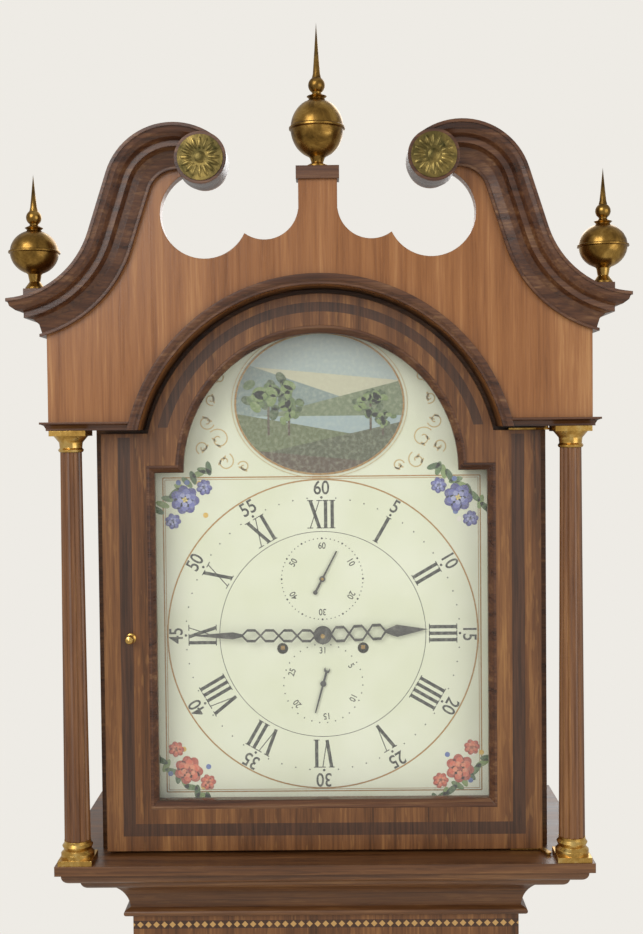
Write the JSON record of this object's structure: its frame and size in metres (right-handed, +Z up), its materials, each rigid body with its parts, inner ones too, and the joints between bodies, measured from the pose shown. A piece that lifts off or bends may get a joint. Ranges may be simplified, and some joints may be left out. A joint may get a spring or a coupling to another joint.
{
  "type": "longcase clock",
  "caption": "Longcase clock with arched sliding hood, swan-neck pediment, fluted columns, painted arched dial, trunk door, weights and pendulum movement.",
  "frame": {"origin": "middle of the whole clock's footprint, on the floor", "axes": "+Z up, -Y towards the viewer, +X to the viewer's right"},
  "size_m": [0.569, 0.276, 2.273],
  "materials": {
    "oak": "polished, open grain",
    "mahogany": "polished dark",
    "brass": "aged",
    "steel": "blued",
    "dial_enamel": "satin enamel",
    "glass": "clear",
    "gut": "twisted gut"
  },
  "bodies": {
    "case": {"backboard": "oak", "base_panels": "oak", "plinth_skirting": "oak", "waist_moulding": "oak", "trunk_sides": "oak", "trunk_frame": "oak", "throat_moulding": "oak", "trunk_hinge_leaves": "brass", "seatboard": "oak", "movement_plates": "brass", "dial_plate": "dial_enamel", "bell": "brass", "line_ends": "gut", "going_line": "gut", "strike_line": "gut"},
    "hood": {"hood_base_moulding": "oak", "hood_sides": "oak", "hood_front_frame": "oak", "frieze_board": "oak", "frieze_sides": "oak", "hood_soffit": "oak", "hood_roof": "oak", "architrave_moulding": "mahogany", "swan_necks": "mahogany", "side_cornices": "mahogany", "scroll_roundels": "mahogany", "brass_rosettes": "brass", "finial_plinths": "mahogany", "finials": "brass", "hood_columns": "mahogany", "column_brasses": "brass"},
    "hood_door": {"hood_door_frame": "oak", "glazing_moulding": "mahogany", "hood_door_glass": "glass", "hood_door_fittings": "brass"},
    "trunk_door": {"trunk_door": "oak", "trunk_door_fittings": "brass"},
    "centre_arbor": {"centre_arbor": "brass", "minute_hand": "steel"},
    "hour_wheel": {"hour_wheel": "brass", "hour_hand": "steel"},
    "minute_wheel": {"minute_wheel": "brass"},
    "third_arbor": {"third_arbor": "brass"},
    "escape_arbor": {"escape_arbor": "brass", "seconds_hand": "steel"},
    "date_work": {"date_hand": "steel"},
    "going_great_wheel": {"going_great_wheel": "brass"},
    "going_barrel": {"going_barrel": "brass"},
    "strike_barrel": {"strike_barrel": "brass"},
    "pin_wheel": {"pin_wheel": "brass"},
    "hammer": {"hammer": "steel"},
    "pallets": {"pallets": "steel"},
    "pendulum": {"pendulum": "brass"},
    "going_weight": {"going_weight": "brass"},
    "going_pulley": {"going_pulley": "brass"},
    "strike_weight": {"strike_weight": "brass"},
    "strike_pulley": {"strike_pulley": "brass"}
  },
  "joints": [
    {"name": "hood_slide", "type": "slide", "parent": "case", "child": "hood", "axis": [0, -1, 0], "range_m": [0, 0.26]},
    {"name": "hood_door_hinge", "type": "hinge", "parent": "hood", "child": "hood_door", "pos_m": [0.213, -0.088, 1.7], "axis": [0, 0, 1], "range_deg": [0, 110]},
    {"name": "trunk_door_hinge", "type": "hinge", "parent": "case", "child": "trunk_door", "pos_m": [0.1565, -0.0475, 0.985], "axis": [0, 0, 1], "range_deg": [0, 110]},
    {"name": "escape_turn", "type": "hinge", "parent": "case", "child": "escape_arbor", "pos_m": [0, 0.029, 1.7498], "axis": [0, 1, 0], "continuous": true},
    {"name": "centre_turn", "type": "hinge", "parent": "case", "child": "centre_arbor", "pos_m": [0, 0.029, 1.695], "axis": [0, 1, 0], "continuous": true},
    {"name": "hour_turn", "type": "hinge", "parent": "case", "child": "hour_wheel", "pos_m": [0, -0.03, 1.695], "axis": [0, 1, 0], "continuous": true},
    {"name": "minute_wheel_turn", "type": "hinge", "parent": "case", "child": "minute_wheel", "pos_m": [-0.02425, -0.011, 1.709], "axis": [0, 1, 0], "continuous": true},
    {"name": "third_turn", "type": "hinge", "parent": "case", "child": "third_arbor", "pos_m": [0.0085, 0.029, 1.7244], "axis": [0, 1, 0], "continuous": true},
    {"name": "date_turn", "type": "hinge", "parent": "case", "child": "date_work", "pos_m": [0, -0.036, 1.6463], "axis": [0, 1, 0], "continuous": true},
    {"name": "great_turn", "type": "hinge", "parent": "case", "child": "going_great_wheel", "pos_m": [0.0397, 0.01, 1.6812], "axis": [0, 1, 0], "continuous": true},
    {"name": "going_lift", "type": "slide", "parent": "case", "child": "going_weight", "axis": [0, 0, 1], "range_m": [0, 1.15], "deforming": ["going_line"]},
    {"name": "going_barrel_turn", "type": "hinge", "parent": "case", "child": "going_barrel", "pos_m": [0.0397, 0.029, 1.6812], "axis": [0, 1, 0], "range_deg": [0, 6940]},
    {"name": "going_pulley_turn", "type": "hinge", "parent": "going_weight", "child": "going_pulley", "pos_m": [0.0397, 0.029, 0.385], "axis": [0, 1, 0], "range_deg": [0, 3470]},
    {"name": "strike_lift", "type": "slide", "parent": "case", "child": "strike_weight", "axis": [0, 0, 1], "range_m": [0, 1.15], "deforming": ["strike_line"]},
    {"name": "strike_barrel_turn", "type": "hinge", "parent": "case", "child": "strike_barrel", "pos_m": [-0.0397, 0.029, 1.6812], "axis": [0, 1, 0], "range_deg": [0, 6940]},
    {"name": "strike_pulley_turn", "type": "hinge", "parent": "strike_weight", "child": "strike_pulley", "pos_m": [-0.0397, 0.029, 0.385], "axis": [0, 1, 0], "range_deg": [0, 3470]},
    {"name": "pin_wheel_turn", "type": "hinge", "parent": "case", "child": "pin_wheel", "pos_m": [-0.0397, 0.029, 1.7203], "axis": [0, 1, 0], "range_deg": [-72850, 0]},
    {"name": "hammer_lift", "type": "hinge", "parent": "case", "child": "hammer", "pos_m": [-0.052, 0.029, 1.752], "axis": [0, -1, 0], "range_deg": [0, 8]},
    {"name": "pendulum_swing", "type": "hinge", "parent": "case", "child": "pendulum", "pos_m": [0, 0.093, 1.7758], "axis": [0, 1, 0], "range_deg": [-2.5, 2.5]},
    {"name": "pallets_rock", "type": "hinge", "parent": "case", "child": "pallets", "pos_m": [0, 0.05, 1.7758], "axis": [0, 1, 0], "range_deg": [-2.5, 2.5]}
  ],
  "couplings": [
    {"joint": "centre_turn", "follows": "escape_turn", "ratio": 0.016667},
    {"joint": "minute_wheel_turn", "follows": "escape_turn", "ratio": -0.016667},
    {"joint": "hour_turn", "follows": "escape_turn", "ratio": 0.0013889},
    {"joint": "third_turn", "follows": "escape_turn", "ratio": -0.125},
    {"joint": "great_turn", "follows": "escape_turn", "ratio": -0.0013889},
    {"joint": "date_turn", "follows": "escape_turn", "ratio": 0.000022401},
    {"joint": "going_barrel_turn", "follows": "going_lift", "rad_per_m": 105.26},
    {"joint": "going_pulley_turn", "follows": "going_lift", "rad_per_m": 52.632},
    {"joint": "strike_barrel_turn", "follows": "strike_lift", "rad_per_m": 105.26},
    {"joint": "strike_pulley_turn", "follows": "strike_lift", "rad_per_m": 52.632},
    {"joint": "pin_wheel_turn", "follows": "strike_lift", "rad_per_m": -1105.3},
    {"joint": "pallets_rock", "follows": "pendulum_swing", "ratio": 1}
  ]
}
